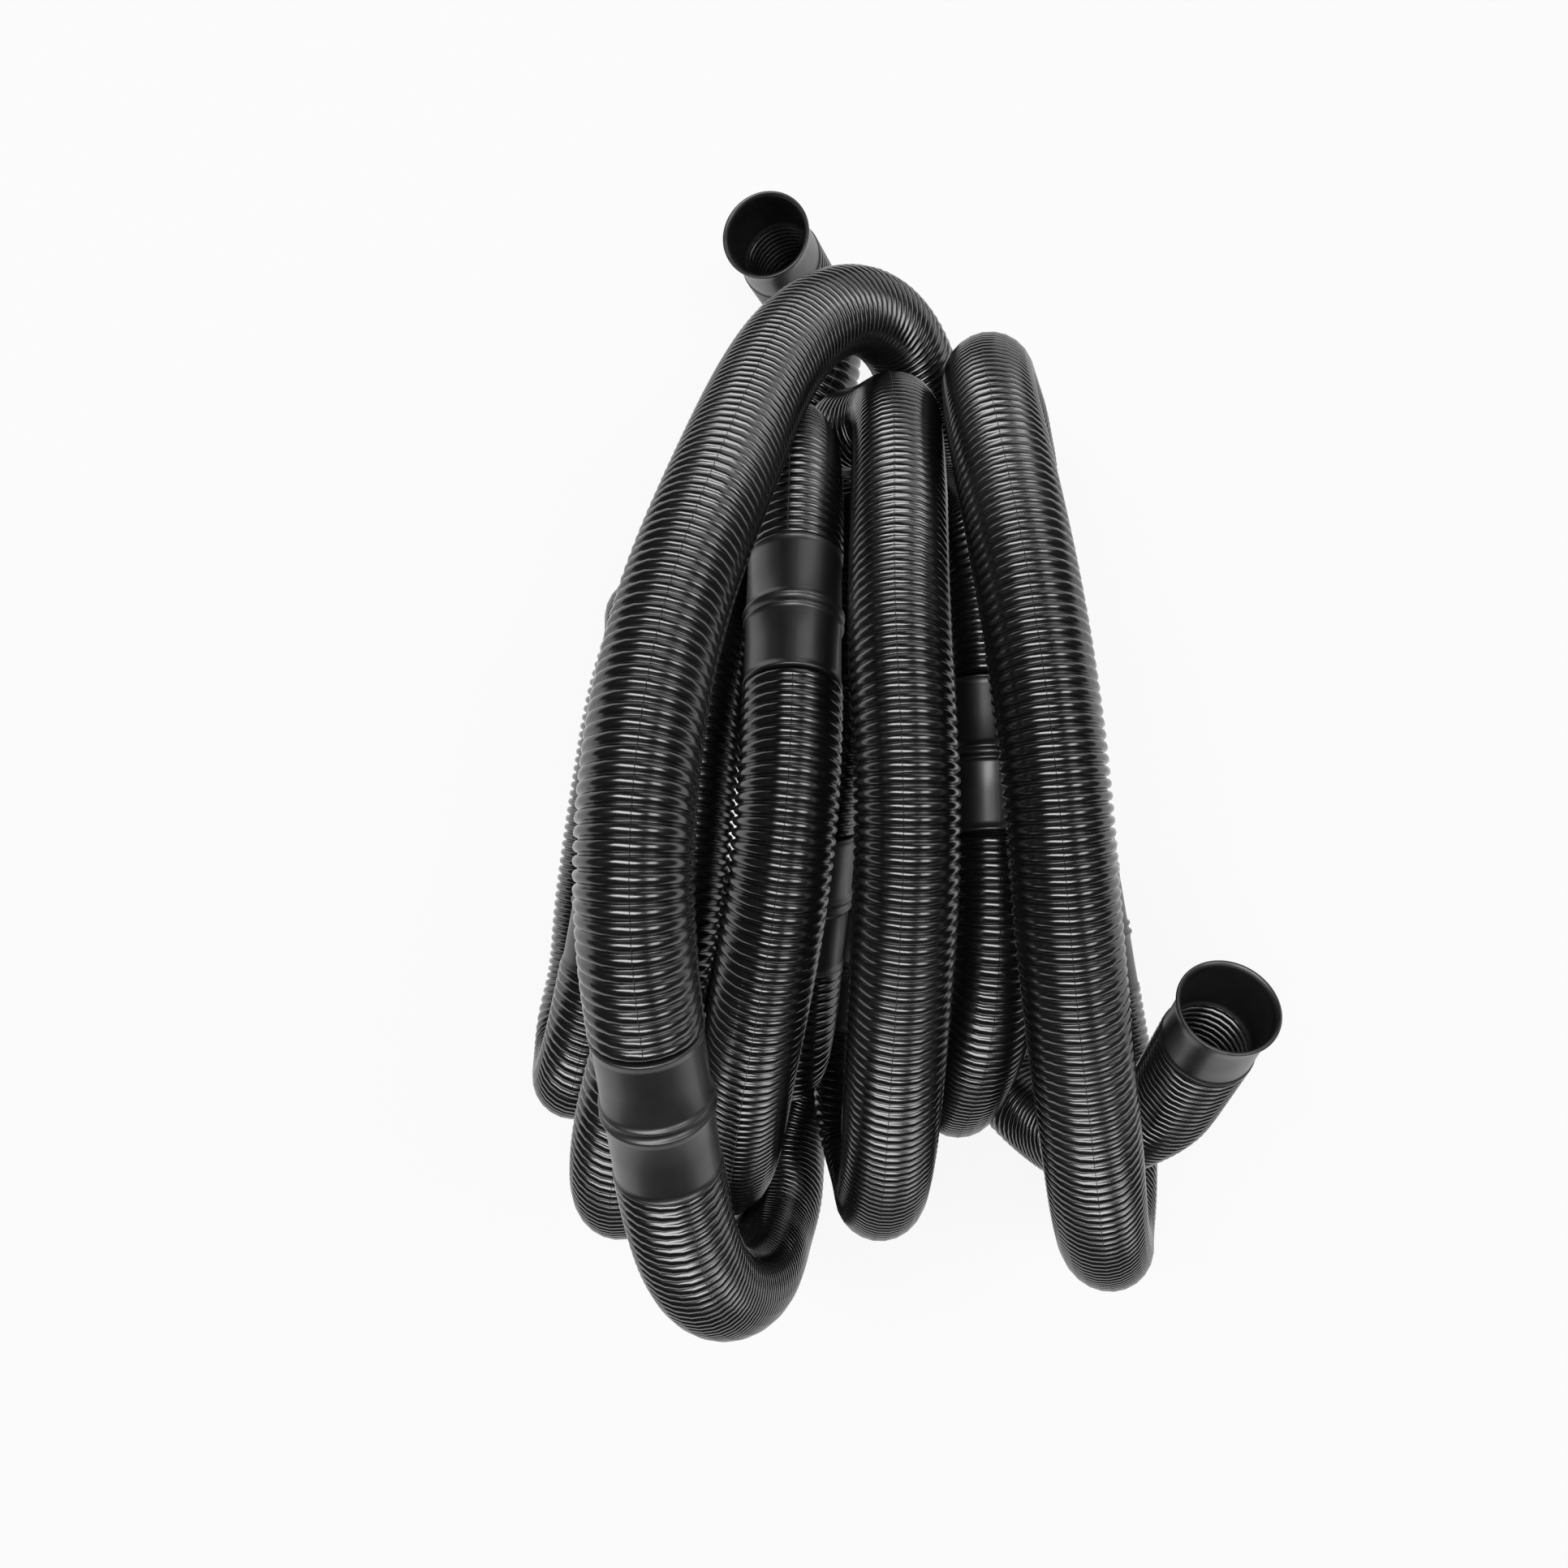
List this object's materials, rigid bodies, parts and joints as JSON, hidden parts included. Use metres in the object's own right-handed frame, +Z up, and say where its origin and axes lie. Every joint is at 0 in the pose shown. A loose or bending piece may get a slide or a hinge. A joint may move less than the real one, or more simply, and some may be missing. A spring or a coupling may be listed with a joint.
{
  "type": "pool vacuum hose",
  "caption": "Ribbed plastic pool vacuum hose in a loose coil, with smooth joining cuffs and a push-on cuff at each end.",
  "frame": {"origin": "middle of the coil's footprint, on the floor that it lies on", "axes": "+Z up from the floor, +Y along the legs towards the crowns and end cuff 2, +X towards end cuff 1"},
  "size_m": [0.3689, 0.5928, 0.4031],
  "materials": {
    "hose_plastic": "satin black, blow moulded",
    "cuff_plastic": "smooth satin black"
  },
  "bodies": {
    "hose": {"end_cuff_1": "cuff_plastic", "ribbed_run_1": "hose_plastic", "double_cuff_1": "cuff_plastic", "ribbed_run_2": "hose_plastic", "double_cuff_2": "cuff_plastic", "ribbed_run_3": "hose_plastic", "double_cuff_3": "cuff_plastic", "ribbed_run_4": "hose_plastic", "double_cuff_4": "cuff_plastic", "ribbed_run_5": "hose_plastic", "double_cuff_5": "cuff_plastic", "ribbed_run_6": "hose_plastic", "double_cuff_6": "cuff_plastic", "ribbed_run_7": "hose_plastic", "double_cuff_7": "cuff_plastic", "ribbed_run_8": "hose_plastic", "double_cuff_8": "cuff_plastic", "ribbed_run_9": "hose_plastic", "double_cuff_9": "cuff_plastic", "ribbed_run_10": "hose_plastic", "end_cuff_2": "cuff_plastic"}
  },
  "joints": []
}
